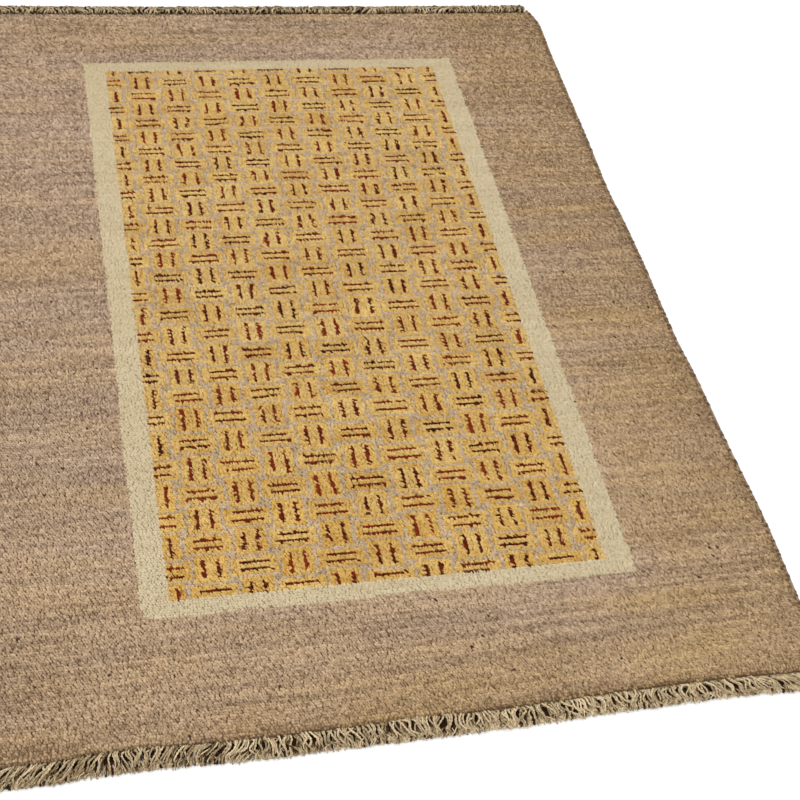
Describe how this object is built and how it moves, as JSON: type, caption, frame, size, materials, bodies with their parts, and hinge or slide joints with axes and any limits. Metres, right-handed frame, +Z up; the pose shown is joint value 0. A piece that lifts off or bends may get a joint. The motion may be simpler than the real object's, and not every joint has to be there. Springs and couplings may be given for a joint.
{
  "type": "handwoven rug",
  "caption": "Flat handwoven wool rug with a short knotted pile, taupe border, ivory band and gold basket-weave field, overcast sides and fringed ends.",
  "frame": {"origin": "middle of the rug's bounding box, on the floor that it lies on", "axes": "+X across the rug to its right side, +Y along the rug from the near fringe to the far fringe, +Z up out of the pile"},
  "size_m": [1.5486, 2.176, 0.011],
  "materials": {
    "pile_wool": "short cut wool pile, taupe with an ivory band and a gold patterned field",
    "selvedge_wool": "wool yarn, overcast",
    "warp_yarn": "undyed twisted wool warp yarn"
  },
  "bodies": {
    "root": {"pile_body": "pile_wool", "selvedge_left": "selvedge_wool", "selvedge_right": "selvedge_wool", "fringe_near": "warp_yarn", "fringe_far": "warp_yarn"}
  },
  "joints": []
}
